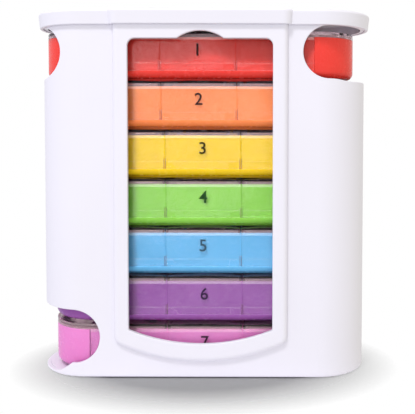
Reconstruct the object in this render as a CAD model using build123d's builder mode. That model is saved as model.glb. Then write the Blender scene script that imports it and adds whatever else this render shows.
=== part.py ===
from build123d import *
import math
import os

os.makedirs("parts", exist_ok=True)

# Weekly pill tower: a white tower that holds seven day boxes, one on the other.
# X runs along the boxes, -Y is the front with the window, Z is up from the feet.

# Tower body, sized by the day boxes that it holds
end_room = 1.9
side_room = 1.7
body_wall = 1.8
shell_bottom = 0.6
bottom_edge_radius = 1.0
lap_length = 2.0

# Raised front panel
panel_width = 80.0
panel_raise = 2.5
panel_round = 2.4
panel_corner = 4.5
panel_low_middle = 8.4
panel_arc_rise = 9.0

# Window in the panel
window_side = 7.0
window_head = 6.3
window_foot = 8.6
window_arc_rise = 6.4
window_top_corner = 3.4
window_low_corner = 1.2
window_edge_radius = 0.5
thumb_radius = 18.0
thumb_height = 3.5

# Openings at the ends of the tower
loading_inset = 18.7
loading_sill_gap = 0.3
opening_cover = 0.2
removal_inset = 18.4
removal_radius = 12.5
removal_lip = 3.8
removal_sill_near = 1.9
removal_sill_far = 3.3
finger_inset = 0.8
foot_sill_gap = 0.2
side_clearance = 0.3
opening_edge_radius = 0.4

# Base plate and feet
plate_thickness = 1.3
plate_fit = 0.1
plate_tab_length = 8.0
plate_tab_reach = 0.8
plate_tab_thickness = 0.7
plate_tab_x = 28.0
tab_play = 0.2
foot_diameter = 9.0
foot_recess = 0.3
foot_x = 56.0
foot_y = 11.0

# Cap
cap_headroom = 2.3
cap_height = 6.9
cap_overhang = 1.7
cap_flare = 0.85
cap_top = 2.0
cap_rim_height = 2.5
cap_fit = 0.25
cap_edge_radius = 1.2
cap_lower_edge_radius = 0.4
snap_length = 8.0
snap_reach = 0.6
snap_height = 0.9
snap_lift = 1.0
snap_x = 26.0
snap_play = 0.15

# Day boxes
box_length = 148.0
box_depth = 40.0
stack_gap = 0.1
tray_foot_height = 1.2
tray_foot_inset = 6.0
tray_foot_wall = 1.6
tray_height = 20.0
tray_wall = 2.2
tray_floor = 1.2
tray_back_wall = 3.0
tray_edge_radius = 3.2
partition_x = 17.6
partition_wall = 1.2
pocket_radius = 1.5

# Clear lids
lid_plate = 1.3
lid_rim = 1.2
lid_rim_height = 1.2
lid_gap = 0.4
lid_fit = 0.1
skirt_thickness = 1.0
skirt_fit = 0.2
skirt_bottom = 4.5
skirt_end_gap = 0.3
bead_height = 3.6
bead_reach = 0.35
bead_round = 0.8
lid_edge_radius = 0.35

# Lid hinges
hinge_barrel_radius = 0.95
hinge_pin_radius = 0.5
hinge_pin_fit = 0.05
hinge_pin_length = 1.3
hinge_post_radius = 1.1
hinge_post_width = 1.6
hinge_post_root = 1.0
hinge_play = 0.15
hinge_back_gap = 0.2
hinge_cover = 0.05
hinge_swing_gap = 0.25
middle_barrel_length = 22.0
end_barrel_length = 24.0
end_barrel_offset = 4.0

# Guide ribs that centre the boxes front to back
rib_width = 2.0
rib_offset = 1.2
rib_fit = 0.4
rib_end_gap = 2.0

# Where each day box stands in its end play, top box first: -1 is full left, 1 full right
box_end_gap = 0.15
box_lean = [-1, -0.7, 0.3, 0.5, 0.4, 0.75, 0.9]

# Levels and places that follow from the sizes above
day_count = len(box_lean)
box_height = tray_height + lid_fit + lid_rim_height + lid_plate
box_pitch = box_height + stack_gap
inner_length = box_length + 2 * end_room
inner_depth = box_depth + 2 * side_room
body_length = inner_length + 2 * body_wall
body_depth = inner_depth + 2 * body_wall
floor_top = shell_bottom + plate_thickness
cap_bottom = floor_top + day_count * box_pitch + cap_headroom
shell_top = cap_bottom + cap_rim_height
cap_crown = cap_bottom + cap_height
window_top = cap_bottom - window_head
window_width = panel_width - 2 * window_side
window_low_middle = panel_low_middle + window_foot
rib_x = panel_width / 2 + rib_offset
rear_reach = body_depth / 2 + cap_overhang + cap_flare
front_reach = rear_reach + panel_raise
mid_y = (front_reach - rear_reach) / 2
front_skin_y = mid_y - body_depth / 2
rear_skin_y = mid_y + body_depth / 2
body_end_centre = body_length / 2 - body_depth / 2
end_play = end_room - box_end_gap
box_half_depth = box_depth / 2
box_end_centre = box_length / 2 - box_half_depth
beyond = body_length

# Hinge and lid places inside a day box
hinge_y = box_half_depth - hinge_post_radius - hinge_back_gap
hinge_z = box_height - hinge_post_radius - hinge_cover
lid_back = hinge_y - hinge_post_radius - hinge_swing_gap
lid_side = partition_x + lid_gap / 2
end_barrel_x = partition_x + end_barrel_offset + end_barrel_length / 2


def level(z):
    """Horizontal plane at height z, centred on the tower."""
    return Plane(origin=(0, mid_y, z))


def upright(y):
    """Upright plane that faces the front, at depth y."""
    return Plane(origin=(0, y, 0), x_dir=(1, 0, 0), z_dir=(0, -1, 0))


def box_floor(day):
    """Height of the underside of a day box, counted from the top."""
    return floor_top + (day_count - day) * box_pitch


def box_middle(day):
    """X of the middle of a day box."""
    return box_lean[day - 1] * end_play


def across(x):
    """Upright plane across a day box, at x from its middle, with y as its first axis."""
    return Plane(origin=(x, 0, 0), x_dir=(0, 1, 0), z_dir=(1, 0, 0))


def end_wall_x(half_depth):
    """X of the inside of the round end wall, this far from the middle plane."""
    return body_end_centre + math.sqrt((inner_depth / 2) ** 2 - half_depth**2)


def skin_distance(point):
    """Distance of a point from the line through the centres of the round ends."""
    return math.hypot(max(abs(point.X) - body_end_centre, 0), point.Y - mid_y)


def panel_outline(inset, top):
    """Outline of the raised panel, drawn in by inset, with its low edge as an arc."""
    half = panel_width / 2 - inset
    low_middle = panel_low_middle + inset
    low_side = low_middle + panel_arc_rise
    with BuildSketch() as outline:
        with BuildLine():
            ThreePointArc((-half, low_side), (0, low_middle), (half, low_side))
            Polyline((half, low_side), (half, top), (-half, top), (-half, low_side))
        make_face()
        fillet(outline.vertices().group_by(Axis.Y)[0], radius=panel_corner)
    return outline.sketch


def window_outline():
    """Outline of the window, with its arced sill and the thumb notch at its top."""
    half = window_width / 2
    low_side = window_low_middle + window_arc_rise
    with BuildSketch() as outline:
        with BuildLine():
            ThreePointArc((-half, low_side), (0, window_low_middle), (half, low_side))
            Polyline((half, low_side), (half, window_top), (-half, window_top), (-half, low_side))
        make_face()
        fillet(outline.vertices().group_by(Axis.Y)[-1], radius=window_top_corner)
        fillet(outline.vertices().group_by(Axis.Y)[0], radius=window_low_corner)
        with Locations((0, window_top + thumb_height - thumb_radius)):
            Circle(thumb_radius)
    return outline.sketch


# Where the end walls give way to the boxes and to the feet of the trays
box_pass_x = end_wall_x(box_half_depth + bead_reach + side_clearance)
foot_pass_x = end_wall_x(box_half_depth - tray_foot_inset + side_clearance)

# Loading opening, upper right: its sill slopes down to where the feet of the trays pass
loading_x = body_length / 2 - loading_inset
loading_sill = box_floor(1) + tray_foot_height - loading_sill_gap
loading_top = cap_bottom + opening_cover
loading_radius = (loading_top - loading_sill) / 2
loading_z = loading_sill + loading_radius
loading_pass = box_floor(1) - foot_sill_gap
with BuildSketch() as loading_opening:
    with Locations((loading_x, loading_z)):
        Circle(loading_radius)
    with BuildLine():
        Bezier(
            (loading_x, loading_sill),
            ((loading_x + foot_pass_x) / 2, loading_sill),
            ((loading_x + foot_pass_x) / 2, loading_pass),
            (foot_pass_x, loading_pass),
        )
        Polyline(
            (foot_pass_x, loading_pass),
            (beyond, loading_pass),
            (beyond, loading_top),
            (loading_x, loading_top),
            (loading_x, loading_sill),
        )
    make_face()

# Removal opening, lower left: its sill dips in one curve to where the feet of the trays pass
removal_x = removal_inset - body_length / 2
removal_low = box_floor(day_count) + tray_foot_height + removal_lip
removal_z = removal_low + removal_radius
removal_pass = box_floor(day_count) - foot_sill_gap
with BuildSketch() as removal_opening:
    with Locations((removal_x, removal_z)):
        Circle(removal_radius)
    with BuildLine():
        Bezier(
            (removal_x, removal_low),
            (removal_x - removal_sill_near, removal_low),
            (-box_pass_x - removal_sill_far, removal_pass),
            (-foot_pass_x, removal_pass),
        )
        Polyline(
            (-foot_pass_x, removal_pass),
            (-beyond, removal_pass),
            (-beyond, removal_low + 2 * removal_radius),
            (removal_x, removal_low + 2 * removal_radius),
            (removal_x, removal_low),
        )
    make_face()

# Finger notch, upper left
finger_x = finger_inset - body_length / 2
with BuildSketch() as finger_notch:
    with Locations((finger_x, loading_z)):
        Circle(loading_radius)

# Tower sleeve: both shells in one, before the cut along the middle
with BuildPart() as sleeve:
    with BuildSketch(level(shell_bottom)):
        SlotOverall(body_length, body_depth)
    extrude(amount=shell_top - shell_bottom)
    fillet(sleeve.edges().group_by(Axis.Z)[0], radius=bottom_edge_radius)

    # Raised panel: its sides and low end roll into the face
    with BuildSketch(upright(front_skin_y - panel_raise)):
        add(panel_outline(0, shell_top))
    extrude(amount=-panel_raise - body_wall / 2)
    panel_face = sleeve.faces().filter_by(Plane.XZ).sort_by(Axis.Y)[0]
    panel_rim = [edge for edge in panel_face.edges() if (edge @ 0.5).Z < shell_top - 0.01]
    fillet(panel_rim, radius=panel_round)

    # Hollow for the stack, and a recess behind the panel
    with BuildSketch(level(0)):
        SlotOverall(inner_length, inner_depth)
    extrude(amount=shell_top + 1, mode=Mode.SUBTRACT)
    with BuildSketch(upright(front_skin_y - panel_raise + body_wall)):
        add(panel_outline(panel_round, shell_top + 1))
    extrude(amount=-panel_raise - body_wall, mode=Mode.SUBTRACT)

    # Window with a rounded rim
    with BuildSketch(upright(front_skin_y)):
        add(window_outline())
    extrude(amount=2 * body_wall + panel_raise, both=True, mode=Mode.SUBTRACT)
    panel_face = sleeve.faces().filter_by(Plane.XZ).sort_by(Axis.Y)[0]
    fillet(panel_face.inner_wires()[0].edges(), radius=window_edge_radius)

    # Openings through both walls, with rounded outer rims
    for opening in (loading_opening, removal_opening, finger_notch):
        with BuildSketch(upright(mid_y)):
            add(opening.sketch)
        extrude(amount=body_depth, both=True, mode=Mode.SUBTRACT)
        rim = [
            edge
            for edge in sleeve.edges(Select.LAST)
            if abs(skin_distance(edge @ 0.5) - body_depth / 2) < 0.01
        ]
        fillet(rim, radius=opening_edge_radius)

    # Ribs that guide the boxes
    rib_bottom = floor_top + plate_fit
    rib_top = box_floor(1) - rib_end_gap
    for side, reach in ((-1, box_half_depth + bead_reach), (1, box_half_depth)):
        rib_face = reach + rib_fit
        rib_root = inner_depth / 2 + body_wall / 2
        with BuildSketch(level(rib_bottom)):
            for x in (-rib_x, rib_x):
                with Locations((x, side * (rib_face + rib_root) / 2)):
                    Rectangle(rib_width, rib_root - rib_face)
        extrude(amount=rib_top - rib_bottom)

    # Slots for the tabs of the base plate, and ridges that hold the cap
    for side in (-1, 1):
        with BuildSketch(level(floor_top - plate_tab_thickness - tab_play)):
            for x in (-plate_tab_x, plate_tab_x):
                with Locations((x, side * inner_depth / 2)):
                    Rectangle(plate_tab_length + 2 * tab_play, 2 * (plate_tab_reach + tab_play))
        extrude(amount=plate_tab_thickness + 2 * tab_play, mode=Mode.SUBTRACT)
        face_y = body_depth / 2 + (panel_raise if side < 0 else 0)
        with BuildSketch(level(cap_bottom + snap_lift)):
            for x in (-snap_x, snap_x):
                with Locations((x, side * face_y)):
                    Rectangle(snap_length, 2 * snap_reach)
        extrude(amount=snap_height)

# Lap joint: the inner half of the front shell's end walls runs on past the middle plane
with BuildPart() as lap:
    add(sleeve.part)
    with BuildSketch(level(0)):
        SlotOverall(inner_length + body_wall, inner_depth + body_wall)
    extrude(amount=shell_top + 1, mode=Mode.INTERSECT)
    with BuildSketch(level(0)):
        Rectangle(2 * body_length, lap_length, align=(Align.CENTER, Align.MIN))
    extrude(amount=shell_top + 1, mode=Mode.INTERSECT)

with BuildPart() as housing_front:
    add(sleeve.part)
    split(bisect_by=upright(mid_y), keep=Keep.TOP)
    add(lap.part)

with BuildPart() as housing_rear:
    add(sleeve.part)
    split(bisect_by=upright(mid_y), keep=Keep.BOTTOM)
    add(lap.part, mode=Mode.SUBTRACT)

for name, shell in (("housing_front", housing_front), ("housing_rear", housing_rear)):
    shell.part.label = name
    export_step(shell.part, f"parts/{name}.step")

# Base plate, with tabs that snap into the shells
with BuildPart() as base_plate:
    with BuildSketch(level(shell_bottom)):
        SlotOverall(inner_length - 2 * plate_fit, inner_depth - 2 * plate_fit)
    extrude(amount=plate_thickness)
    with BuildSketch(level(floor_top - plate_tab_thickness)):
        for side in (-1, 1):
            for x in (-plate_tab_x, plate_tab_x):
                with Locations((x, side * inner_depth / 2)):
                    Rectangle(plate_tab_length, 2 * plate_tab_reach)
    extrude(amount=plate_tab_thickness)
    with BuildSketch(level(shell_bottom)):
        with GridLocations(2 * foot_x, 2 * foot_y, 2, 2):
            Circle(foot_diameter / 2)
    extrude(amount=foot_recess, mode=Mode.SUBTRACT)
base_plate.part.label = "base_plate"
export_step(base_plate.part, "parts/base_plate.step")

# Four feet under the base plate
with BuildPart() as feet:
    with BuildSketch(level(0)):
        with GridLocations(2 * foot_x, 2 * foot_y, 2, 2):
            Circle(foot_diameter / 2)
    extrude(amount=shell_bottom + foot_recess)
    fillet(feet.edges().group_by(Axis.Z)[0], radius=shell_bottom / 2)
feet.part.label = "feet"
export_step(feet.part, "parts/feet.step")


def tower_plan(grow):
    """Plan of the tower with its raised panel, grown by this much all round."""
    front = -body_depth / 2
    with BuildSketch() as plan:
        SlotOverall(body_length, body_depth)
        with Locations((0, front - panel_raise)):
            Rectangle(panel_width, body_depth / 2, align=(Align.CENTER, Align.MIN))
        fillet(plan.vertices().group_by(Axis.Y)[0], radius=panel_round)
        offset(amount=grow, kind=Kind.ARC)
    return plan.sketch


# Cap: a shallow shell that fits over the top of both housings
with BuildPart() as cap:
    with BuildSketch(level(cap_bottom)):
        add(tower_plan(cap_overhang))
    with BuildSketch(level(cap_crown)):
        add(tower_plan(cap_overhang + cap_flare))
    loft(ruled=True)
    fillet(cap.edges().group_by(Axis.Z)[-1], radius=cap_edge_radius)
    fillet(cap.edges().group_by(Axis.Z)[0], radius=cap_lower_edge_radius)
    with BuildSketch(level(cap_bottom)):
        add(tower_plan(cap_fit))
    extrude(amount=cap_rim_height, mode=Mode.SUBTRACT)
    with BuildSketch(level(shell_top)):
        SlotOverall(inner_length, inner_depth)
    extrude(amount=cap_height - cap_rim_height - cap_top, mode=Mode.SUBTRACT)
    for side in (-1, 1):
        face_y = body_depth / 2 + (panel_raise if side < 0 else 0)
        with BuildSketch(level(cap_bottom + snap_lift - snap_play)):
            for x in (-snap_x, snap_x):
                with Locations((x, side * face_y)):
                    Rectangle(snap_length + 2 * snap_play, 2 * (snap_reach + snap_play))
        extrude(amount=snap_height + 2 * snap_play, mode=Mode.SUBTRACT)
cap.part.label = "cap"
export_step(cap.part, "parts/cap.step")


# Day boxes are drawn about their own middle, with the underside of the foot ring at height 0
pocket_floor = tray_foot_height + tray_floor
skirt_recess_bottom = skirt_bottom - skirt_fit
foot_length = box_length - 2 * tray_foot_inset
foot_depth = box_depth - 2 * tray_foot_inset

# Coloured tray: a round-ended box with three compartments
with BuildPart() as tray:
    # Body, well rounded below the skirts of the lids
    with BuildSketch(Plane.XY.offset(tray_foot_height)):
        SlotOverall(box_length, box_depth)
    extrude(amount=tray_height - tray_foot_height)
    fillet(tray.edges().group_by(Axis.Z)[0], radius=tray_edge_radius)

    # Foot ring that stands on the lids of the box below
    with BuildSketch():
        SlotOverall(foot_length, foot_depth)
        inner_foot = (foot_length - 2 * tray_foot_wall, foot_depth - 2 * tray_foot_wall)
        SlotOverall(*inner_foot, mode=Mode.SUBTRACT)
    extrude(amount=tray_foot_height)

    # Front wall set back for the skirts
    with BuildSketch(Plane.XY.offset(skirt_recess_bottom)):
        with Locations((0, -box_half_depth)):
            Rectangle(2 * box_end_centre, 2 * (skirt_thickness + skirt_fit))
    extrude(amount=tray_height, mode=Mode.SUBTRACT)

    # Three compartments with rounded floors
    with BuildSketch(Plane.XY.offset(pocket_floor)):
        SlotOverall(box_length - 2 * tray_wall, box_depth - 2 * tray_wall)
        with Locations((0, box_half_depth - tray_back_wall)):
            Rectangle(box_length, box_depth, align=(Align.CENTER, Align.MIN), mode=Mode.SUBTRACT)
        with Locations((-partition_x, 0), (partition_x, 0)):
            Rectangle(partition_wall, box_depth, mode=Mode.SUBTRACT)
    extrude(amount=tray_height, mode=Mode.SUBTRACT)
    pocket_edges = [
        edge
        for edge in tray.edges(Select.LAST)
        if abs(edge.bounding_box().max.Z - pocket_floor) < 0.01
    ]
    fillet(pocket_edges, radius=pocket_radius)

    # Posts that the lids' pintles turn in
    post_shift = hinge_play + hinge_post_width / 2
    for barrel_x, barrel in (
        (-end_barrel_x, end_barrel_length),
        (0, middle_barrel_length),
        (end_barrel_x, end_barrel_length),
    ):
        for end in (-1, 1):
            with BuildSketch(across(barrel_x + end * (barrel / 2 + post_shift))):
                with Locations((hinge_y, hinge_z)):
                    Circle(hinge_post_radius)
                    Rectangle(
                        2 * hinge_post_radius,
                        hinge_z - tray_height + hinge_post_root,
                        align=(Align.CENTER, Align.MAX),
                    )
                    Circle(hinge_pin_radius + hinge_pin_fit, mode=Mode.SUBTRACT)
            extrude(amount=hinge_post_width / 2, both=True)


def lid_outline(side, inset):
    """Plan of a lid, drawn in by inset; side is -1, 0 or 1 for left, middle and right."""
    with BuildSketch() as outline:
        if side == 0:
            Rectangle(2 * (partition_x - lid_gap / 2 - inset), box_depth - 2 * inset)
        else:
            SlotOverall(box_length - 2 * inset, box_depth - 2 * inset)
            keep = Align.MAX if side > 0 else Align.MIN
            with Locations((side * (lid_side + inset), 0)):
                Rectangle(box_length, 2 * box_depth, align=(keep, Align.CENTER), mode=Mode.SUBTRACT)
        with Locations((0, lid_back - inset)):
            Rectangle(2 * box_length, box_depth, align=(Align.CENTER, Align.MIN), mode=Mode.SUBTRACT)
    return outline.sketch


def make_lid(side):
    """Clear lid with a front skirt and a hinge barrel; side is -1, 0 or 1."""
    barrel_x = side * end_barrel_x
    barrel_length = end_barrel_length if side else middle_barrel_length
    skirt_width = box_end_centre - skirt_end_gap - lid_side if side else 2 * (partition_x - lid_gap / 2)
    skirt_x = side * (lid_side + skirt_width / 2)
    with BuildPart() as lid:
        # Plate with a rim, drawn as a shallow shell
        with BuildSketch(Plane.XY.offset(tray_height + lid_fit)):
            add(lid_outline(side, 0))
        extrude(amount=box_height - tray_height - lid_fit)
        with BuildSketch():
            add(lid_outline(side, lid_rim))
        extrude(amount=box_height - lid_plate, mode=Mode.SUBTRACT)

        # Skirt with a bead to lift it by
        with BuildSketch(Plane.XY.offset(skirt_bottom)):
            with Locations((skirt_x, -box_half_depth)):
                Rectangle(skirt_width, skirt_thickness, align=(Align.CENTER, Align.MIN))
        extrude(amount=box_height - lid_plate - skirt_bottom)
        fillet(lid.edges().group_by(Axis.Z)[-1], radius=lid_edge_radius)
        with BuildSketch(Plane.XY.offset(skirt_bottom)):
            with Locations((skirt_x, -box_half_depth)):
                Rectangle(skirt_width, 2 * bead_reach)
        extrude(amount=bead_height)
        bead_y = -box_half_depth - bead_reach
        bead_edges = [edge for edge in lid.edges() if abs(edge.center().Y - bead_y) < 0.01]
        fillet(bead_edges, radius=bead_round * bead_reach)

        # Web, barrel and pintles
        with BuildSketch(Plane.XY.offset(box_height - lid_plate)):
            with Locations((barrel_x, lid_back - lid_rim)):
                Rectangle(barrel_length, hinge_y - lid_back + lid_rim, align=(Align.CENTER, Align.MIN))
        extrude(amount=hinge_z + hinge_barrel_radius - box_height + lid_plate)
        for radius, reach in (
            (hinge_barrel_radius, barrel_length / 2),
            (hinge_pin_radius, barrel_length / 2 + hinge_pin_length),
        ):
            with BuildSketch(across(barrel_x)):
                with Locations((hinge_y, hinge_z)):
                    Circle(radius)
            extrude(amount=reach, both=True)
    return lid.part


# Seven day boxes, one on the other, each with its tray and three lids
box_pieces = {
    "tray": tray.part,
    "lid_left": make_lid(-1),
    "lid_middle": make_lid(0),
    "lid_right": make_lid(1),
}
for day in range(1, day_count + 1):
    place = Location((box_middle(day), mid_y, box_floor(day)))
    for name, piece in box_pieces.items():
        placed = piece.moved(place)
        placed.label = f"day_{day}_{name}"
        export_step(placed, f"parts/{placed.label}.step")
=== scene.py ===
"""Weekly pill tower: a white tower with seven day boxes, dressed for a studio photograph.

Every length is in metres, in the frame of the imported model: X runs along the day boxes,
-Y is the front with the window and Z is up from the feet.
"""
import logging
import math
from collections.abc import Callable
from dataclasses import dataclass
from enum import Enum

import bmesh
import bpy
from mathutils import Matrix, Vector


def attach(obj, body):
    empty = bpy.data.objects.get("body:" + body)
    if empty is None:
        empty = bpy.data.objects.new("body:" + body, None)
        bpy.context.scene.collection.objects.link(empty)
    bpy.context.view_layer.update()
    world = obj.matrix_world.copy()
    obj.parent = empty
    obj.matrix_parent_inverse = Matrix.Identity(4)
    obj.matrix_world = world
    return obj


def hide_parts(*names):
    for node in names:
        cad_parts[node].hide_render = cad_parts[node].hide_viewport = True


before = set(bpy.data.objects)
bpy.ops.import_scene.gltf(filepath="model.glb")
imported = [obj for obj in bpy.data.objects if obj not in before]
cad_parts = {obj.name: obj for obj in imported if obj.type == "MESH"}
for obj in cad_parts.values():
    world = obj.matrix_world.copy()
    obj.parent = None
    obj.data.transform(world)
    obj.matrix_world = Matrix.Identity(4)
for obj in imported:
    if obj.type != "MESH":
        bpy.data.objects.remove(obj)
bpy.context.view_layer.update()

Colour = tuple[float, float, float]
Point = tuple[float, float, float]
Piece = bpy.types.Object
Socket = bpy.types.NodeSocket
Test = Callable[[object], bool]

DAY_COUNT = 7
CLOSE = 1e-5  # lengths that differ by less count as the same
MERGE_GAP = 3 * CLOSE  # corners of a round end this close are merged
LINE_GAP = 2e-6  # corners this close in x stand on one line of a lid's top
ALIGNED = 0.999  # cosine from which a face looks the way that is asked for
SHARP_ANGLE = math.radians(35.0)
BACK: Point = (0, 1, 0)
DOWN: Point = (0, 0, -1)
RIGHT: Point = (1, 0, 0)
UP: Point = (0, 0, 1)
WHITE_LIGHT: Colour = (1, 1, 1)

log = logging.getLogger("pill_tower")


class Choice(Enum):
    """What a selection in edit mode is made of."""

    EDGES = "EDGE"
    FACES = "FACE"
    CORNERS = "VERT"


class Fit(Enum):
    """How one solid is worked into another."""

    CUT = "DIFFERENCE"
    WELD = "UNION"


class Tint(Enum):
    """The seven tray colours, top box first."""

    RED = "red"
    ORANGE = "orange"
    YELLOW = "yellow"
    GREEN = "green"
    LIGHT_BLUE = "light_blue"
    PURPLE = "purple"
    PINK = "pink"


class Side(Enum):
    """Which of a day box's three lids is meant."""

    LEFT = -1
    MIDDLE = 0
    RIGHT = 1


# Moves of the modelling bench


def put_down() -> None:
    """Leave edit mode and deselect every object."""
    if bpy.context.mode != "OBJECT":
        bpy.ops.object.mode_set(mode="OBJECT")
    bpy.ops.object.select_all(action="DESELECT")


def take_up(piece: Piece) -> None:
    """Make one piece the only selected and the active one.

    Args:
        piece: The piece to work on.
    """
    put_down()
    piece.select_set(True)
    bpy.context.view_layer.objects.active = piece


def choose(piece: Piece, kind: Choice, test: Test) -> None:
    """Open a piece in edit mode and select the parts of its mesh that pass a test.

    Args:
        piece: The piece to work on.
        kind: Whether corners, edges or faces are tested and selected.
        test: Returns True for a mesh element to select.
    """
    if bpy.context.mode != "EDIT_MESH" or bpy.context.edit_object is not piece:
        take_up(piece)
        bpy.ops.object.mode_set(mode="EDIT")
    bpy.ops.mesh.select_mode(type=kind.value)
    bpy.ops.mesh.select_all(action="DESELECT")
    mesh = bmesh.from_edit_mesh(piece.data)
    mesh.normal_update()
    rows = {Choice.CORNERS: mesh.verts, Choice.EDGES: mesh.edges, Choice.FACES: mesh.faces}[kind]
    for element in [element for element in rows if test(element)]:
        element.select_set(True)
    bmesh.update_edit_mesh(piece.data)


def settle(name: str) -> Piece:
    """Name the piece that was just added and put its place into its mesh.

    Args:
        name: Its name.

    Returns:
        The piece.
    """
    piece = bpy.context.object
    piece.name = name
    bpy.ops.object.transform_apply(location=True, rotation=True, scale=True)
    return piece


def block(name: str, low: Point, high: Point) -> Piece:
    """Add a block between two corners.

    Args:
        name: The name of the new piece.
        low: Its lowest corner.
        high: Its highest corner.

    Returns:
        The new piece, with its place in its mesh.
    """
    put_down()
    middle = [(a + b) / 2 for a, b in zip(low, high)]
    size = [b - a for a, b in zip(low, high)]
    bpy.ops.mesh.primitive_cube_add(size=1, location=middle, scale=size)
    return settle(name)


def rod(name: str, start: Point, length: float, radius: float, sides: int) -> Piece:
    """Add a round rod that runs along X.

    Args:
        name: The name of the new piece.
        start: The centre of its left end.
        length: Its length.
        radius: Its radius.
        sides: How many flats its round has.

    Returns:
        The new piece, with its place in its mesh.
    """
    put_down()
    bpy.ops.mesh.primitive_cylinder_add(
        vertices=sides,
        radius=radius,
        depth=length,
        location=(start[0] + length / 2, start[1], start[2]),
        rotation=(0, math.pi / 2, 0),
    )
    return settle(name)


def upright_edge(x: float | None = None) -> Test:
    """Make a test for upright edges.

    Args:
        x: Only edges at this x, if given.

    Returns:
        The test, for use with choose.
    """

    def test(edge: bmesh.types.BMEdge) -> bool:
        """Tell whether an edge stands upright at the wanted place.

        Args:
            edge: The edge.

        Returns:
            True for such an edge.
        """
        first, second = (corner.co for corner in edge.verts)
        return (
            abs(first.x - second.x) < CLOSE
            and abs(first.y - second.y) < CLOSE
            and (x is None or abs(first.x - x) < CLOSE)
        )

    return test


def edge_at_height(z: float) -> Test:
    """Make a test for edges that lie at height z.

    Args:
        z: The height.

    Returns:
        The test, for use with choose.
    """

    def test(edge: bmesh.types.BMEdge) -> bool:
        """True for an edge with both ends at the height."""
        return all(abs(corner.co.z - z) < CLOSE for corner in edge.verts)

    return test


def edge_along_x(z: float) -> Test:
    """Make a test for edges at height z that run along X.

    Args:
        z: The height.

    Returns:
        The test, for use with choose.
    """

    def test(edge: bmesh.types.BMEdge) -> bool:
        """True for an edge at the height with both ends at one depth."""
        first, second = (corner.co for corner in edge.verts)
        return edge_at_height(z)(edge) and abs(first.y - second.y) < CLOSE

    return test


def any_of(*tests: Test) -> Test:
    """Make a test that is true where any of the given ones is."""
    return lambda element: any(test(element) for test in tests)


def face_toward(direction: Point) -> Test:
    """Make a test for flat faces that look one way.

    Args:
        direction: The way that the faces look, a unit vector.

    Returns:
        The test, for use with choose.
    """
    way = Vector(direction)

    def test(face: bmesh.types.BMFace) -> bool:
        """True for a face that looks that way."""
        return face.normal.dot(way) >= ALIGNED

    return test


def round_edges(piece: Piece, test: Test, width: float, segments: int) -> None:
    """Bevel the edges of a piece that pass a test.

    Args:
        piece: The piece to work on.
        test: Returns True for an edge to round.
        width: How far the round reaches from the edge.
        segments: How many facets it has.
    """
    choose(piece, Choice.EDGES, test)
    bpy.ops.mesh.bevel(offset=width, segments=segments, profile=0.5, affect="EDGES")


def merge_corners(piece: Piece, gap: float) -> None:
    """Merge the corners of a piece that nearly touch.

    Args:
        piece: The piece to work on.
        gap: How close two corners are merged from.
    """
    choose(piece, Choice.CORNERS, lambda corner: True)
    bpy.ops.mesh.remove_doubles(threshold=gap)


def round_end(piece: Piece, test: Test, radius: float, segments: int) -> None:
    """Round the upright edges of a block into half circles.

    Args:
        piece: The piece to work on.
        test: Returns True for an edge to round.
        radius: The radius of a half circle.
        segments: How many facets each edge's round has.
    """
    round_edges(piece, test, radius - CLOSE, segments)
    merge_corners(piece, MERGE_GAP)


def draw_in(width: float) -> None:
    """Inset the chosen faces as one region.

    Args:
        width: How far their border is drawn in.
    """
    bpy.ops.mesh.inset(thickness=width, depth=0.0, use_even_offset=True)


def pull(move: Point) -> None:
    """Extrude the chosen faces.

    Args:
        move: How far they go.
    """
    bpy.ops.mesh.extrude_region_move(TRANSFORM_OT_translate={"value": move})


def slice_at(piece: Piece, point: Point, normal: Point, drop: bool = False) -> None:
    """Cut the mesh of a piece along a plane.

    Args:
        piece: The piece to work on.
        point: A point of the plane.
        normal: The plane's normal.
        drop: Whether what lies on the normal's side is taken off and the cut closed.
    """
    choose(piece, Choice.FACES, lambda face: True)
    bpy.ops.mesh.bisect(plane_co=point, plane_no=normal, use_fill=drop, clear_outer=drop)


def work_in(piece: Piece, tool: Piece, fit: Fit) -> None:
    """Cut a tool's shape from a piece, or weld it on, and put the tool away.

    Args:
        piece: The piece to work on.
        tool: The solid to cut with or weld on.
        fit: Whether to cut or weld.
    """
    take_up(piece)
    modifier = piece.modifiers.new("fit", "BOOLEAN")
    modifier.operation = fit.value
    modifier.solver = "EXACT"
    modifier.object = tool
    bpy.ops.object.modifier_apply(modifier=modifier.name)
    bpy.data.objects.remove(tool, do_unlink=True)


def soften(piece: Piece, width: float, segments: int) -> None:
    """Round every sharp edge of a piece and shade it smooth.

    Args:
        piece: The piece to finish.
        width: How far the rounds reach.
        segments: How many facets they have.
    """
    take_up(piece)
    modifier = piece.modifiers.new("soft edges", "BEVEL")
    modifier.width = width
    modifier.segments = segments
    modifier.limit_method = "ANGLE"
    modifier.angle_limit = SHARP_ANGLE
    modifier.miter_outer = "MITER_ARC"
    bpy.ops.object.modifier_apply(modifier=modifier.name)
    bpy.ops.object.shade_smooth_by_angle(angle=SHARP_ANGLE)


def copy_to(master: Piece, name: str, move: Point) -> Piece:
    """Copy a piece, with a mesh of its own.

    Args:
        master: The piece to copy.
        name: The copy's name.
        move: How far the copy stands from the master.

    Returns:
        The copy, with its place in its mesh.
    """
    copy = bpy.data.objects.new(name, master.data.copy())
    copy.data.name = name
    copy.data.transform(Matrix.Translation(Vector(move)))
    bpy.context.scene.collection.objects.link(copy)
    return copy


def dress(piece: Piece, material: bpy.types.Material) -> None:
    """Give a piece one material all over.

    Args:
        piece: The piece to dress.
        material: Its material.
    """
    if piece.material_slots:
        for slot in piece.material_slots:
            slot.material = material
    else:
        piece.data.materials.append(material)


# Finishes


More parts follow.
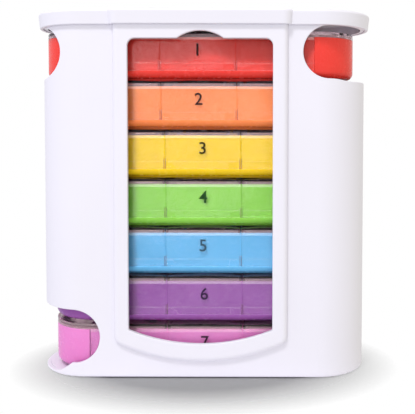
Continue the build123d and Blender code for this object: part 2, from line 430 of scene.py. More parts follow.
class NodeSheet:
    """The node tree of one material or sky, with short calls for adding and joining nodes."""

    NOISE_LOW, NOISE_HIGH = 0.3, 0.7
    BLEND_SHARE, BLEND_LOW, BLEND_HIGH, BLEND_RESULT = 0, 6, 7, 2

    def __init__(self, holder: bpy.types.Material | bpy.types.World) -> None:
        """Empty a node tree and give it an output.

        Args:
            holder: The new material or sky that the nodes belong to.
        """
        holder.use_nodes = True
        self.holder = holder
        self.tree = holder.node_tree
        self.tree.nodes.clear()
        self.output = self.add("OutputWorld" if isinstance(holder, bpy.types.World) else "OutputMaterial")

    def feed(self, target: Socket, value: object) -> None:
        """Set a socket, or join another node's output to it.

        Args:
            target: The socket.
            value: Its value, a colour without its alpha, or the output that feeds it.
        """
        if isinstance(value, bpy.types.NodeSocket):
            self.tree.links.new(value, target)
        else:
            target.default_value = (*value, 1) if target.type == "RGBA" else value

    def add(self, kind: str, **values: object) -> bpy.types.Node:
        """Add a node, and feed its sockets by name.

        Args:
            kind: The node's type, without its ShaderNode prefix.
            **values: Socket names with underscores for spaces, and what feeds them.

        Returns:
            The new node.
        """
        node = self.tree.nodes.new("ShaderNode" + kind)
        for name, value in values.items():
            self.feed(node.inputs[name.replace("_", " ")], value)
        return node

    def close(self, surface: Socket) -> bpy.types.Material | bpy.types.World:
        """Join a shader to the output, and hand out the finished material or sky."""
        self.feed(self.output.inputs["Surface"], surface)
        return self.holder

    def noise(self, scale: float, detail: float = 3.0) -> Socket:
        """Add a noise on Object coordinates, with this many features for each metre."""
        place = self.add("TexCoord").outputs["Object"]
        return self.add("TexNoise", Scale=scale, Detail=detail, Vector=place).outputs[0]

    def ramp(self, source: Socket, start: float, end: float, low: float, high: float) -> Socket:
        """Map one range of a value onto another.

        Args:
            source: The value.
            start: Where its range starts.
            end: Where its range ends.
            low: What the start becomes.
            high: What the end becomes.

        Returns:
            The mapped value.
        """
        ramp = self.add("MapRange", Value=source, From_Min=start, From_Max=end, To_Min=low, To_Max=high)
        return ramp.outputs[0]

    def between(self, noise: Socket, low: float, high: float) -> Socket:
        """Map a noise onto a range, from its dark patches to its bright ones."""
        return self.ramp(noise, self.NOISE_LOW, self.NOISE_HIGH, low, high)

    def two_tone(self, share: Socket, low: Colour | Socket, high: Colour | Socket) -> Socket:
        """Blend two colours by a value.

        Args:
            share: The value, from 0 to 1.
            low: The colour at 0.
            high: The colour at 1.

        Returns:
            The blended colour.
        """
        blend = self.add("Mix")
        blend.data_type = "RGBA"
        self.feed(blend.inputs[self.BLEND_SHARE], share)
        self.feed(blend.inputs[self.BLEND_LOW], low)
        self.feed(blend.inputs[self.BLEND_HIGH], high)
        return blend.outputs[self.BLEND_RESULT]

    def mottle(self, scale: float, low: Colour, high: Colour) -> Socket:
        """Blend two colours in soft patches, with this many for each metre."""
        return self.two_tone(self.between(self.noise(scale), 0.0, 1.0), low, high)

    def bump(self, height: Socket, depth: float, strength: float) -> Socket:
        """Turn a height from 0 to 1 into a bumped normal, where 1 stands for the depth."""
        return self.add("Bump", Height=height, Distance=depth, Strength=strength).outputs[0]

    def either(self, test: Socket, usual: Socket, other: Socket) -> Socket:
        """Use one shader, and another where a test holds.

        Args:
            test: The test, 0 or 1.
            usual: The shader at 0.
            other: The shader at 1.

        Returns:
            The chosen shader.
        """
        split = self.add("MixShader")
        for target, source in zip(split.inputs, (test, usual, other)):
            self.feed(target, source)
        return split.outputs[0]


@dataclass(frozen=True)
class SatinPlastic:
    """Opaque moulded plastic with a fine grain."""

    name: str
    colour: Colour
    shade: Colour
    roughness: float = 0.42
    grain: float = 1800.0
    grain_depth: float = 0.00004
    grain_strength: float = 0.25
    patches: float = 22.0

    def material(self) -> bpy.types.Material:
        """Build the material.

        Returns:
            The new material.
        """
        sheet = NodeSheet(bpy.data.materials.new(self.name))
        fine = sheet.noise(self.grain, 2.0)
        body = sheet.add(
            "BsdfPrincipled",
            IOR=1.49,
            Base_Color=sheet.mottle(self.patches, self.colour, self.shade),
            Roughness=sheet.between(fine, self.roughness - 0.05, self.roughness + 0.06),
            Normal=sheet.bump(fine, self.grain_depth, self.grain_strength),
        )
        return sheet.close(body.outputs[0])


@dataclass(frozen=True)
class TintedPlastic:
    """Glossy dyed plastic that lets a little light through."""

    name: str
    colour: Colour
    deep: Colour
    roughness: float = 0.24
    through: float = 0.12
    through_depth: float = 0.002
    patches: float = 35.0
    grain: float = 420.0
    ripples: float = 40.0
    ripple_depth: float = 0.0001
    ripple_strength: float = 0.04

    def material(self) -> bpy.types.Material:
        """Build the material.

        Returns:
            The new material.
        """
        sheet = NodeSheet(bpy.data.materials.new(self.name))
        fine = sheet.noise(self.grain, 2.0)
        body = sheet.add(
            "BsdfPrincipled",
            IOR=1.5,
            Specular_IOR_Level=0.22,
            Subsurface_Weight=self.through,
            Subsurface_Radius=(1.0, 0.5, 0.5),
            Subsurface_Scale=self.through_depth,
            Base_Color=sheet.mottle(self.patches, self.colour, self.deep),
            Roughness=sheet.between(fine, self.roughness - 0.05, self.roughness + 0.07),
            Normal=sheet.bump(sheet.noise(self.ripples, 1.0), self.ripple_depth, self.ripple_strength),
        )
        return sheet.close(body.outputs[0])


@dataclass(frozen=True)
class ClearPlastic:
    """Clear polished plastic that lets lamps through."""

    name: str
    colour: Colour = (0.88, 0.88, 0.885)
    roughness: float = 0.05
    clearness: float = 1.0
    passed: Colour = (0.82, 0.82, 0.83)
    grain: float = 160.0
    ripples: float = 25.0
    ripple_depth: float = 0.0002
    ripple_strength: float = 0.05

    def material(self) -> bpy.types.Material:
        """Build the material.

        Returns:
            The new material.
        """
        sheet = NodeSheet(bpy.data.materials.new(self.name))
        fine = sheet.noise(self.grain, 2.0)
        body = sheet.add(
            "BsdfPrincipled",
            IOR=1.28,
            Specular_IOR_Level=0.15,
            Transmission_Weight=self.clearness,
            Base_Color=self.colour,
            Roughness=sheet.between(fine, self.roughness - 0.02, self.roughness + 0.05),
            Normal=sheet.bump(sheet.noise(self.ripples, 1.0), self.ripple_depth, self.ripple_strength),
        )
        lamp_way = sheet.add("BsdfTransparent", Color=self.passed)
        lamp_ray = sheet.add("LightPath").outputs["Is Shadow Ray"]
        return sheet.close(sheet.either(lamp_ray, body.outputs[0], lamp_way.outputs[0]))


@dataclass(frozen=True)
class StudioPaper:
    """Matt paper around the part, dark where the camera sees it as a painted shadow, which fades out into
    the white room.
    """

    name: str
    # colour is the dark tone that the camera sees, a painted shadow; bounced is the pale tone that light
    # bounces from
    colour: Colour
    bounced: Colour = (0.85, 0.84, 0.88)
    radii: Point = (0.098, 0.064, 1.0)
    fade_from: float = 0.55
    fade_to: float = 0.97
    fibres: float = 600.0
    fibre_depth: float = 0.00004
    fibre_strength: float = 0.2

    def fade(self, sheet: NodeSheet) -> Socket:
        """Make the paper's opacity, so that its painted shadow fades out across an oval ring around the
        tower.

        Args:
            sheet: The material's nodes.

        Returns:
            The opacity.
        """
        place = sheet.add("VectorMath")
        place.operation = "DIVIDE"
        sheet.feed(place.inputs[0], sheet.add("TexCoord").outputs["Object"])
        sheet.feed(place.inputs[1], self.radii)
        reach = sheet.add("VectorMath")
        reach.operation = "LENGTH"
        sheet.feed(reach.inputs[0], place.outputs["Vector"])
        return sheet.ramp(reach.outputs["Value"], self.fade_from, self.fade_to, 1.0, 0.0)

    def material(self) -> bpy.types.Material:
        """Build the material.

        Returns:
            The new material.
        """
        sheet = NodeSheet(bpy.data.materials.new(self.name))
        # The camera sees the dark colour, a painted shadow; every other ray sees the pale bounced colour
        seen = sheet.add("LightPath").outputs["Is Camera Ray"]
        body = sheet.add(
            "BsdfPrincipled",
            IOR=1.2,
            Roughness=0.95,
            Base_Color=sheet.two_tone(seen, self.bounced, self.colour),
            Alpha=self.fade(sheet),
            Normal=sheet.bump(sheet.noise(self.fibres, 2.0), self.fibre_depth, self.fibre_strength),
        )
        return sheet.close(body.outputs[0])


@dataclass(frozen=True)
class PrintInk:
    """Screen-printed ink, slightly uneven."""

    name: str
    colour: Colour
    patches: float = 900.0
    grain: float = 1500.0
    roughness: tuple[float, float] = (0.35, 0.5)

    def material(self) -> bpy.types.Material:
        """Build the material.

        Returns:
            The new material.
        """
        sheet = NodeSheet(bpy.data.materials.new(self.name))
        thin = tuple(channel * 1.3 + 0.004 for channel in self.colour)
        body = sheet.add(
            "BsdfPrincipled",
            IOR=1.45,
            Specular_IOR_Level=0.1,
            Base_Color=sheet.mottle(self.patches, self.colour, thin),
            Roughness=sheet.between(sheet.noise(self.grain), *self.roughness),
        )
        return sheet.close(body.outputs[0])


WHITE = SatinPlastic("white_satin_plastic", (0.81, 0.79, 0.875), (0.795, 0.775, 0.86))
RUBBER = SatinPlastic("pale_foot_rubber", (0.5, 0.5, 0.51), (0.46, 0.46, 0.47), 0.75, 1200.0, 0.0001)
# Painted shadow: paper this dark around the tower, seen only by the camera
PAINTED_SHADOW_PAPER = StudioPaper("painted_shadow_paper", (0.33, 0.33, 0.335))

CLEAR = ClearPlastic("clear_lid_plastic")
# Painted reflection: a milky mauve haze on the plate's front edge, standing in for the trays reflected in
# it
PLATE_REFLECTION_HAZE = ClearPlastic("hazy_lid_plastic", (0.86, 0.60, 0.66), 0.12, 0.8)
# Painted shade: darker glass in narrow bands at the seams between lids
SEAM_SHADE = ClearPlastic("lid_seam_painted_shade_plastic", (0.6, 0.48, 0.5), 0.2, 0.9)
# Painted highlight: a whitish band at the top of the skirt
EDGE = ClearPlastic("lid_edge_plastic", (1.0, 0.98, 0.98), 0.12, 0.88)
# Painted highlight: whitish glass on the bead's two edge lines and on the skirt ends
BEAD_HIGHLIGHT = ClearPlastic("lid_bead_plastic", (1.0, 0.98, 0.98), 0.1, 0.88)
# Painted shade: dark mauve glass on the rim and top, so that the gap under the box above looks shaded
RIM_SHADE = ClearPlastic("lid_rim_painted_shade_plastic", (0.58, 0.4, 0.46), 0.06, 1.0)
LID_FINISHES = (CLEAR, PLATE_REFLECTION_HAZE, SEAM_SHADE, EDGE, BEAD_HIGHLIGHT, RIM_SHADE)

TRAY_COLOURS: dict[Tint, tuple[Colour, Colour]] = {
    Tint.RED: ((0.87, 0.06, 0.045), (0.80, 0.045, 0.035)),
    Tint.ORANGE: ((0.97, 0.28, 0.09), (0.94, 0.235, 0.065)),
    Tint.YELLOW: ((0.91, 0.61, 0.015), (0.88, 0.57, 0.01)),
    Tint.GREEN: ((0.28, 0.65, 0.085), (0.245, 0.6, 0.07)),
    Tint.LIGHT_BLUE: ((0.16, 0.50, 0.84), (0.13, 0.46, 0.80)),
    Tint.PURPLE: ((0.33, 0.11, 0.40), (0.29, 0.08, 0.36)),
    Tint.PINK: ((0.80, 0.26, 0.62), (0.77, 0.22, 0.57)),
}
INK_COLOURS: dict[Tint, Colour] = {
    Tint.RED: (0.03, 0.01, 0.01),
    Tint.ORANGE: (0.04, 0.02, 0.02),
    Tint.YELLOW: (0.04, 0.03, 0.01),
    Tint.GREEN: (0.02, 0.07, 0.02),
    Tint.LIGHT_BLUE: (0.04, 0.09, 0.14),
    Tint.PURPLE: (0.04, 0.02, 0.06),
    Tint.PINK: (0.05, 0.02, 0.04),
}


# Sub-assemblies


@dataclass
class Tower:
    """The white tower: two shells, base plate, cap and feet."""

    white_nodes: tuple[str, ...] = ("housing_front", "housing_rear", "base_plate", "cap")
    rubber_node: str = "feet"

    def build(self) -> list[str]:
        """Dress the tower's solids.

        Returns:
            The names of its pieces.
        """
        white = WHITE.material()
        for name in self.white_nodes:
            dress(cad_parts[name], white)
        dress(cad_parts[self.rubber_node], RUBBER.material())
        return [*self.white_nodes, self.rubber_node]


@dataclass
class DayBoxes:
    """Seven day boxes, each a tinted tray with three clear lids and a printed numeral."""

    # The box and where it stands
    length: float = 0.148
    depth: float = 0.040
    middle_y: float = 0.00125
    first_floor: float = 0.0019
    pitch: float = 0.0227
    play: float = 0.00175
    lean: tuple[float, ...] = (-1, -0.7, 0.3, 0.5, 0.4, 0.75, 0.9)
    height: float = 0.0226
    arc_facets: int = 24

    # The tray
    tray_height: float = 0.020
    tray_soft: float = 0.0002
    tray_soft_facets: int = 2
    foot_height: float = 0.0012
    foot_inset: float = 0.006
    foot_wall: float = 0.0016
    lower_round: float = 0.0032
    lower_facets: int = 6
    wall: float = 0.0022
    back_wall: float = 0.003
    floor: float = 0.0012
    partition: float = 0.0176
    partition_wall: float = 0.0012
    pocket_round: float = 0.0015
    pocket_facets: int = 4

    # The lids
    lid_plate: float = 0.0013
    lid_rim: float = 0.0012
    lid_low: float = 0.0201
    lid_gap: float = 0.0004
    lid_soft: float = 0.00022
    lid_soft_facets: int = 3
    crown: float = 0.00045
    end_crown: float = 0.7
    crown_steps: int = 12
    skirt: float = 0.001
    skirt_fit: float = 0.0002
    skirt_low: float = 0.0045
    skirt_end_gap: float = 0.0003
    bead_height: float = 0.0036
    bead_reach: float = 0.00035
    bead_round: float = 0.8
    bead_facets: int = 3

    # Where a lid's finish changes, and where its painted highlights and painted shade lie
    plate_low: float = 0.0202
    haze_low: float = 0.0188
    seam_mark: float = 0.0005
    seam_top: float = 0.0093
    bead_band: float = 0.0004
    end_band: float = 0.005
    front_lean: float = 0.3
    side_lean: float = 0.5

    # The hinges
    hinge_radius: float = 0.00095
    barrel_sides: int = 24
    pin_radius: float = 0.0005
    pin_length: float = 0.0013
    pin_hole: float = 0.00055
    hole_sides: int = 16
    post_radius: float = 0.0011
    post_facets: int = 8
    post_width: float = 0.0016
    post_root: float = 0.001
    hinge_play: float = 0.00015
    hinge_back_gap: float = 0.0002
    hinge_cover: float = 0.00005
    swing_gap: float = 0.00025
    middle_barrel: float = 0.022
    end_barrel: float = 0.024
    end_barrel_offset: float = 0.004

    # The numerals, whose weight is a share of the letter size
    numeral_height: float = 0.0056
    numeral_low: float = 0.0114
    numeral_weight: float = 0.008
    numeral_facets: int = 6
    ink_depth: float = 0.00003

    @property
    def half_depth(self) -> float:
        """Half of a box's depth."""
        return self.depth / 2

    @property
    def arc_middle(self) -> float:
        """How far the centre of a round end is from the middle of the box."""
        return self.length / 2 - self.half_depth

    @property
    def skirt_end(self) -> float:
        """How far the end of the outer skirts is from the middle of the box."""
        return self.arc_middle - self.skirt_end_gap

    @property
    def bead_top(self) -> float:
        """Height of the upper bead line."""
        return self.skirt_low + self.bead_height

    @property
    def plate_top(self) -> float:
        """Height from which a lid's rim has its own finish, a painted shade."""
        return self.lid_low + self.lid_plate

    @property
    def hinge_y(self) -> float:
        """Depth of the hinge line."""
        return self.half_depth - self.post_radius - self.hinge_back_gap

    @property
    def hinge_z(self) -> float:
        """Height of the hinge line."""
        return self.height - self.post_radius - self.hinge_cover

    @property
    def lid_back(self) -> float:
        """Depth of the lids' back edge."""
        return self.hinge_y - self.post_radius - self.swing_gap

    def place(self, day: int) -> Point:
        """Where a day box stands.

        Args:
            day: Its number, counted from the top.

        Returns:
            The middle of its underside.
        """
        return (
            self.lean[day - 1] * self.play,
            self.middle_y,
            self.first_floor + (DAY_COUNT - day) * self.pitch,
        )

    def barrel(self, side: Side) -> tuple[float, float]:
        """Where a lid's hinge barrel is.

        Args:
            side: Which lid.

        Returns:
            The x of its middle, and its length.
        """
        if side is Side.MIDDLE:
            return 0.0, self.middle_barrel
        reach = self.partition + self.end_barrel_offset + self.end_barrel / 2
        return side.value * reach, self.end_barrel

    def span(self, side: Side, near: float, far: float) -> tuple[float, float]:
        """Lowest and highest x of a stretch between two distances out on one side."""
        low, high = sorted((side.value * near, side.value * far))
        return low, high

    def make_tray(self) -> Piece:
        """Model a tray about the middle of its underside.

        Returns:
            The new tray.
        """
        half_x, half_y = self.length / 2, self.half_depth
        tray = block("tray", (-half_x, -half_y, self.foot_height), (half_x, half_y, self.tray_height))
        round_end(tray, upright_edge(), half_y, self.arc_facets)
        round_edges(tray, edge_at_height(self.foot_height), self.lower_round, self.lower_facets)
        choose(tray, Choice.FACES, face_toward(DOWN))
        draw_in(self.foot_inset - self.lower_round)
        pull((0, 0, -self.foot_height))
        draw_in(self.foot_wall)
        pull((0, 0, self.foot_height))
        work_in(tray, self.skirt_recess(), Fit.CUT)
        for side in Side:
            work_in(tray, self.pocket(side), Fit.CUT)
        for side in Side:
            middle, length = self.barrel(side)
            for end in (-1, 1):
                shift = length / 2 + self.hinge_play + self.post_width / 2
                work_in(tray, self.post(middle + end * shift), Fit.WELD)
        soften(tray, self.tray_soft, self.tray_soft_facets)
        return tray

    def skirt_recess(self) -> Piece:
        """Model the step in a tray's front that the skirts hang in.

        Returns:
            The solid to cut with.
        """
        reach = self.skirt + self.skirt_fit
        return block(
            "recess",
            (-self.arc_middle, -self.half_depth - reach, self.skirt_low - self.skirt_fit),
            (self.arc_middle, -self.half_depth + reach, self.height),
        )

    def pocket(self, side: Side) -> Piece:
        """Model the hollow of one compartment.

        Args:
            side: Which compartment.

        Returns:
            The solid to cut with.
        """
        front = -self.half_depth + self.wall
        back = self.half_depth - self.back_wall
        low = self.foot_height + self.floor
        if side is Side.MIDDLE:
            inner = self.partition - self.partition_wall / 2
            hollow = block("hollow", (-inner, front, low), (inner, back, self.height))
            corner = upright_edge()
        else:
            near = self.partition + self.partition_wall / 2
            far = self.length / 2 - self.wall
            left, right = self.span(side, near, far)
            hollow = block("hollow", (left, front, low), (right, -front, self.height))
            round_end(hollow, upright_edge(side.value * far), -front, self.arc_facets)
            slice_at(hollow, (0, back, 0), BACK, drop=True)
            corner = upright_edge(side.value * near)
        round_edges(hollow, any_of(corner, edge_at_height(low)), self.pocket_round, self.pocket_facets)
        return hollow

    def post(self, x: float) -> Piece:
        """Model a hinge post with its hole.

        Args:
            x: The x of its middle.

        Returns:
            The new post.
        """
        half = self.post_width / 2
        top = self.hinge_z + self.post_radius
        post = block(
            "post",
            (x - half, self.hinge_y - self.post_radius, self.tray_height - self.post_root),
            (x + half, self.hinge_y + self.post_radius, top),
        )
        round_edges(post, edge_along_x(top), self.post_radius - CLOSE, self.post_facets)
        start = (x - self.post_width, self.hinge_y, self.hinge_z)
        work_in(post, rod("hole", start, 2 * self.post_width, self.pin_hole, self.hole_sides), Fit.CUT)
        return post

    def lid_drop(self, side: Side, x: float) -> float:
        """How far a lid's crowned top lies below its highest line.

        Args:
            side: Which lid.
            x: Where along the box.

        Returns:
            The drop.
        """
        reach = abs(x)
        if side is Side.MIDDLE:
            return self.crown * (reach / self.partition) ** 2
        if reach < self.arc_middle:
            share = max(0.0, 1 - (reach - self.partition) / self.partition)
            return self.crown * share**2
        return self.end_crown * self.crown * ((reach - self.arc_middle) / self.half_depth) ** 2

    def make_lid(self, side: Side) -> Piece:
        """Model a clear lid with its crowned plate, rim, skirt, bead, barrel and pintles.

        Args:
            side: Which lid.

        Returns:
            The new lid.
        """
        front, top = -self.half_depth, self.height
        near = self.partition + self.lid_gap / 2
        if side is Side.MIDDLE:
            left, right = -near + self.lid_gap, near - self.lid_gap
            lid = block("lid", (left, front, self.lid_low), (right, self.lid_back, top))
        else:
            left, right = self.span(side, near, self.length / 2)
            lid = block("lid", (left, front, self.lid_low), (right, -front, top))
            round_end(lid, upright_edge(side.value * self.length / 2), -front, self.arc_facets)
            slice_at(lid, (0, self.lid_back, 0), BACK, drop=True)
            left, right = self.span(side, near, self.skirt_end)
        for step in range(1, self.crown_steps):
            slice_at(lid, (left + (right - left) * step / self.crown_steps, 0, 0), RIGHT)
        if side is not Side.MIDDLE:
            slice_at(lid, (side.value * self.skirt_end, 0, 0), RIGHT)
        choose(lid, Choice.FACES, face_toward(DOWN))
        draw_in(self.lid_rim)
        pull((0, 0, top - self.lid_plate - self.lid_low))
        self.crown_top(lid, side)
        self.add_skirt(lid, left, right)
        self.add_hinge(lid, side)
        soften(lid, self.lid_soft, self.lid_soft_facets)
        self.dress_lid(lid, side)
        return lid

    def crown_top(self, lid: Piece, side: Side) -> None:
        """Lower a lid's top towards its ends, one line of corners at a time.

        Args:
            lid: The lid.
            side: Which lid it is.
        """
        high = self.height - CLOSE
        choose(lid, Choice.CORNERS, lambda corner: corner.co.z > high)
        top = [corner for corner in bmesh.from_edit_mesh(lid.data).verts if corner.select]
        for x in sorted({round(corner.co.x, 6) for corner in top}):
            choose(lid, Choice.CORNERS, lambda c: c.co.z > high and abs(c.co.x - x) < LINE_GAP)
            bpy.ops.transform.translate(value=(0, 0, -self.lid_drop(side, x)))

    def add_skirt(self, lid: Piece, left: float, right: float) -> None:
        """Pull the skirt down from a lid's front rim and give it a bead.

        Args:
            lid: The lid.
            left: The x of the skirt's left end.
            right: The x of its right end.
        """
        front = -self.half_depth
        ridge = front - self.bead_reach
        slice_at(lid, (0, front + self.skirt, 0), BACK)

        def under_front(face: bmesh.types.BMFace) -> bool:
            """Tell whether a face is under the front rim.

            Args:
                face: The face.

            Returns:
                True for such a face.
            """
            middle = face.calc_center_median()
            return (
                face.normal.z < -ALIGNED
                and abs(middle.z - self.lid_low) < CLOSE
                and middle.y < front + self.skirt
                and left < middle.x < right
            )

        def bead_front(face: bmesh.types.BMFace) -> bool:
            """True for the skirt's front faces where the bead comes."""
            middle = face.calc_center_median()
            return face.normal.y < -ALIGNED and middle.z < self.bead_top and middle.y < front + CLOSE

        def on_ridge(edge: bmesh.types.BMEdge) -> bool:
            """True for an edge that lies on the bead's front."""
            return all(abs(corner.co.y - ridge) < CLOSE for corner in edge.verts)

        choose(lid, Choice.FACES, under_front)
        pull((0, 0, self.skirt_low - self.lid_low))
        for height in (self.plate_top, self.plate_low, self.haze_low, self.seam_top, self.bead_top):
            slice_at(lid, (0, 0, height), UP)
        choose(lid, Choice.FACES, bead_front)
        pull((0, -self.bead_reach, 0))
        line = any_of(edge_at_height(self.bead_top), edge_at_height(self.skirt_low))
        width = self.bead_round * self.bead_reach
        round_edges(lid, lambda edge: on_ridge(edge) and line(edge), width, self.bead_facets)

    def add_hinge(self, lid: Piece, side: Side) -> None:
        """Weld the barrel and its pintles to a lid's back edge.

        Args:
            lid: The lid.
            side: Which lid it is.
        """
        middle, length = self.barrel(side)
        start = (middle - length / 2, self.hinge_y, self.hinge_z)
        web = block(
            "web",
            (start[0], self.lid_back - self.lid_rim, self.height - self.lid_plate),
            (start[0] + length, self.hinge_y, self.hinge_z + self.hinge_radius),
        )
        work_in(lid, web, Fit.WELD)
        barrel = rod("barrel", start, length, self.hinge_radius, self.barrel_sides)
        for way in (-1, 1):
            choose(barrel, Choice.FACES, face_toward((way, 0, 0)))
            draw_in(self.hinge_radius - self.pin_radius)
            pull((way * self.pin_length, 0, 0))
        work_in(lid, barrel, Fit.WELD)

    def dress_lid(self, lid: Piece, side: Side) -> None:
        """Give a lid its finishes: clear skirt, plate front with a painted reflection, rim with painted
        shade, edges and bead lines with painted highlights, and seam marks with painted shade.

        Args:
            lid: The lid.
            side: Which lid it is.
        """
        for kind in LID_FINISHES:
            lid.data.materials.append(bpy.data.materials.get(kind.name) or kind.material())
        # Slice out the narrow bands at the seams that get the painted shade
        inner = self.partition - self.seam_mark
        outer = self.partition + self.seam_mark
        for cut in (-inner, inner) if side is Side.MIDDLE else (side.value * outer,):
            slice_at(lid, (cut, 0, 0), RIGHT)
        put_down()
        for face in lid.data.polygons:
            face.material_index = LID_FINISHES.index(self.lid_finish(face, side))

    def lid_finish(self, face: bpy.types.MeshPolygon, side: Side) -> ClearPlastic:
        """Which finish a face of a lid has.

        Args:
            face: The face.
            side: Which lid it is on.

        Returns:
            The finish.
        """
        x, y, z = face.center
        reach = abs(x)
        outer = self.partition + self.seam_mark
        # Narrow bands at the seams between lids, below the bead's top: painted shade
        in_seam_shade = self.partition - self.seam_mark < reach < outer
        if in_seam_shade and z < self.seam_top and (side is Side.MIDDLE or x * side.value > 0):
            return SEAM_SHADE
        # The rim and the top: tinted dark mauve, a painted shade
        if z > self.plate_top:
            return RIM_SHADE
        # The plate's front edge: a painted reflection, milky and mauve
        if z > self.lid_low and face.normal.y < -self.front_lean:
            return PLATE_REFLECTION_HAZE
        # A band at the top of the skirt: a painted highlight line
        if z > self.haze_low:
            return EDGE
        # The skirt ends and the bead's two edge lines: painted highlights
        outward = reach > outer + self.end_band and abs(face.normal.x) > self.side_lean
        on_end_highlight = outward and z < self.lid_low
        on_bead_highlight = min(abs(z - self.bead_top), abs(z - self.skirt_low)) < self.bead_band
        return BEAD_HIGHLIGHT if on_end_highlight or (y < -self.half_depth and on_bead_highlight) else CLEAR

    def make_numeral(self, day: int) -> Piece:
        """Model a day's printed numeral about the middle of its box.

        Args:
            day: The day's number.

        Returns:
            The new numeral.
        """
        put_down()
        bpy.ops.object.text_add(rotation=(math.pi / 2, 0, 0))
        letter = bpy.context.object.data
        letter.body = str(day)
        letter.extrude = 0.01
        letter.offset = self.numeral_weight
        letter.resolution_u = self.numeral_facets
        bpy.ops.object.convert(target="MESH")
        numeral = settle(f"day_{day}_numeral")
        merge_corners(numeral, CLOSE)
        put_down()
        corners = [corner.co for corner in numeral.data.vertices]
        low = Vector([min(corner[axis] for corner in corners) for axis in range(3)])
        high = Vector([max(corner[axis] for corner in corners) for axis in range(3)])
        size = self.numeral_height / (high.z - low.z)
        numeral.data.transform(Matrix.Translation(-Vector(((low.x + high.x) / 2, high.y, low.z))))
        numeral.data.transform(Matrix.Diagonal((size, self.ink_depth / (high.y - low.y), size, 1)))
        numeral.data.transform(Matrix.Translation((0, -self.half_depth, self.numeral_low)))
        return numeral

    def add_tray(self, day: int, tint: Tint, master: Piece) -> str:
        """Add a day's tray.

        Args:
            day: The day's number.
            tint: Its colour.
            master: The modelled tray.

        Returns:
            The name of the new piece.
        """
        body = f"day_{day}"
        node = f"{body}_tray"
        piece = copy_to(master, f"{node}_shell", self.place(day))
        dress(piece, TintedPlastic(f"{tint.value}_tray_plastic", *TRAY_COLOURS[tint]).material())
        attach(piece, body)
        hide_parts(node)
        return piece.name

    def add_lid(self, day: int, side: Side, master: Piece) -> str:
        """Add one of a day's lids, which in the top box has a joint of its own.

        Args:
            day: The day's number.
            side: Which lid.
            master: The modelled lid.

        Returns:
            The name of the new piece.
        """
        body = f"day_{day}"
        word = side.name.lower()
        carrier = f"{body}_{word}_lid" if day == 1 else body
        piece = copy_to(master, f"{body}_{word}_clear_lid", self.place(day))
        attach(piece, carrier)
        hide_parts(f"{body}_lid_{word}")
        return piece.name

    def add_numeral(self, day: int, tint: Tint) -> str:
        """Add the numeral on a day's middle lid.

        Args:
            day: The day's number.
            tint: The colour of its tray.

        Returns:
            The name of the new piece.
        """
        body = f"day_{day}"
        numeral = self.make_numeral(day)
        numeral.data.transform(Matrix.Translation(Vector(self.place(day))))
        dress(numeral, PrintInk(f"{tint.value}_box_ink", INK_COLOURS[tint]).material())
        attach(numeral, "day_1_middle_lid" if day == 1 else body)
        return numeral.name

    def build(self) -> list[str]:
        """Model one box, copy it for each day, and dress the copies.

        Returns:
            The names of the pieces.
        """
        tray = self.make_tray()
        lids = {side: self.make_lid(side) for side in Side}
        names = []
        for day, tint in enumerate(Tint, start=1):
            names.append(self.add_tray(day, tint, tray))
            names.extend(self.add_lid(day, side, lid) for side, lid in lids.items())
            names.append(self.add_numeral(day, tint))
        for master in (tray, *lids.values()):
            bpy.data.objects.remove(master, do_unlink=True)
        return names


@dataclass(frozen=True)
class Lamp:
    """A round soft lamp that points at the tower."""

    name: str
    place: Point
    size: float
    watts: float
    in_gloss: bool
    aim: Point = (0, 0, 0.08)

    def hang(self) -> None:
        """Hang the lamp."""
        data = bpy.data.lights.new(self.name, "AREA")
        data.shape = "DISK"
        data.size = self.size
        data.energy = self.watts
        lamp = bpy.data.objects.new(self.name, data)
        lamp.location = self.place
        lamp.visible_glossy = self.in_gloss
        way = Vector(self.aim) - Vector(self.place)
        lamp.rotation_euler = way.to_track_quat("-Z", "Y").to_euler()
        bpy.context.scene.collection.objects.link(lamp)


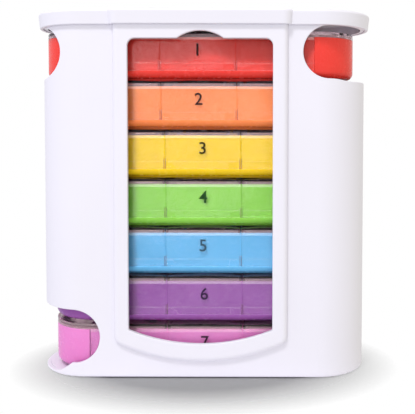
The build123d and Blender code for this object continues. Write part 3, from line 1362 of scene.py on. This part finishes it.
@dataclass
class Studio:
    """Paper with a painted shadow under the tower, two soft lamps, a white sky and the camera."""

    camera_place: Point = (0.02835, -0.32187, 0.118)
    pitch: float = 2.16
    yaw: float = -0.05
    roll: float = 0.12
    focal: float = 655.4
    frame_width: int = 415
    sensor: float = 36.0
    shift: tuple[float, float] = (-0.1313, -0.14)
    clip: tuple[float, float] = (0.01, 20.0)
    floor_size: float = 8.0
    lamps: tuple[Lamp, ...] = (
        Lamp("key_lamp", (-0.25, -0.6, 1.0), 0.22, 4.9, True),
        Lamp("low_lamp", (-0.2, -1.3, 0.08), 0.5, 1.8, False),
    )
    sky: float = 0.84
    left_sky: Colour = (0.97, 0.97, 1.06)
    right_sky: Colour = (0.98, 0.94, 0.78)
    side_from: float = 0.4
    side_to: float = 0.95

    def build(self) -> list[str]:
        """Build the studio.

        Returns:
            The names of its objects.
        """
        self.add_floor()
        bpy.context.scene.world = self.make_sky()
        for lamp in self.lamps:
            lamp.hang()
        self.add_camera()
        return ["floor", *(lamp.name for lamp in self.lamps), "camera"]

    def add_floor(self) -> None:
        """Lay the paper that the tower stands on, which carries a painted shadow."""
        put_down()
        bpy.ops.mesh.primitive_plane_add(size=self.floor_size, location=(0, 0, 0))
        floor = bpy.context.object
        floor.name = "floor"
        dress(floor, PAINTED_SHADOW_PAPER.material())

    def make_sky(self) -> bpy.types.World:
        """Make a white sky, a little cool on the left and warm on the right.

        Returns:
            The sky, which the camera itself sees as pure white.
        """
        sheet = NodeSheet(bpy.data.worlds.new("studio_sky"))
        axes = sheet.add("SeparateXYZ", Vector=sheet.add("TexCoord").outputs["Generated"])
        colour = WHITE_LIGHT
        for way, tone in ((-1, self.left_sky), (1, self.right_sky)):
            share = sheet.ramp(axes.outputs["X"], self.side_from * way, self.side_to * way, 0.0, 1.0)
            colour = sheet.two_tone(share, colour, tone)
        room = sheet.add("Background", Color=colour, Strength=self.sky)
        backdrop = sheet.add("Background", Color=WHITE_LIGHT)
        seen = sheet.add("LightPath").outputs["Is Camera Ray"]
        return sheet.close(sheet.either(seen, room.outputs[0], backdrop.outputs[0]))

    def add_camera(self) -> None:
        """Set up the camera at the photograph's place and angle."""
        data = bpy.data.cameras.new("camera")
        data.sensor_width = self.sensor
        data.lens = self.focal / self.frame_width * self.sensor
        data.shift_x, data.shift_y = self.shift
        data.clip_start, data.clip_end = self.clip
        camera = bpy.data.objects.new("camera", data)
        camera.location = self.camera_place
        yaw, tilt, lean = (math.radians(angle) for angle in (self.yaw, self.pitch, self.roll))
        right = Vector((math.cos(yaw), -math.sin(yaw), 0))
        level = Vector((math.sin(yaw), math.cos(yaw), 0))
        ahead = level * math.cos(tilt) - Vector(UP) * math.sin(tilt)
        up = right.cross(ahead)
        side = right * math.cos(lean) + up * math.sin(lean)
        head = up * math.cos(lean) - right * math.sin(lean)
        camera.rotation_euler = Matrix((side, head, -ahead)).transposed().to_euler()
        bpy.context.scene.collection.objects.link(camera)
        bpy.context.scene.camera = camera
        bpy.context.scene.view_settings.view_transform = "Standard"


def main() -> None:
    """Build the studio and the object, and report each piece."""
    logging.basicConfig(level=logging.INFO, format="%(name)s: %(message)s")
    for assembly in (Studio(), Tower(), DayBoxes()):
        for name in assembly.build():
            log.info("%s: %s", type(assembly).__name__, name)


if __name__ == "__main__":
    main()
